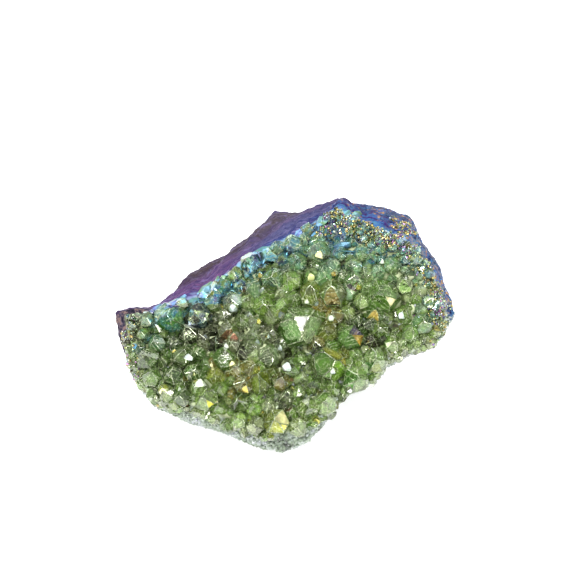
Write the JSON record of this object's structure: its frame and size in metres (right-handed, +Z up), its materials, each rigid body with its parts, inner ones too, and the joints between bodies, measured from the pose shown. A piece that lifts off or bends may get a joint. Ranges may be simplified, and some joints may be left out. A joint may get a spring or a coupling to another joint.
{
  "type": "aura amethyst druse",
  "caption": "Broken piece of geode wall that rests on a flat break and carries a tilted crust of intergrown quartz crystals with a metallic aura coating.",
  "frame": {"origin": "under the middle of the specimen's box, on the flat break that it rests on", "axes": "+Z up, +X along the longest side, +Y towards the high broken back; the crystals face up and towards -Y"},
  "size_m": [0.0808, 0.0631, 0.0314],
  "materials": {
    "matrix": "rough geode wall with a satin violet and steel blue metallic film, silver grey where it is bare",
    "quartz": "clear olive green quartz with glossy flat faces and an iridescent metallic film"
  },
  "bodies": {
    "root": {"matrix_rock": "matrix", "crystal_crust": "quartz"}
  },
  "joints": []
}
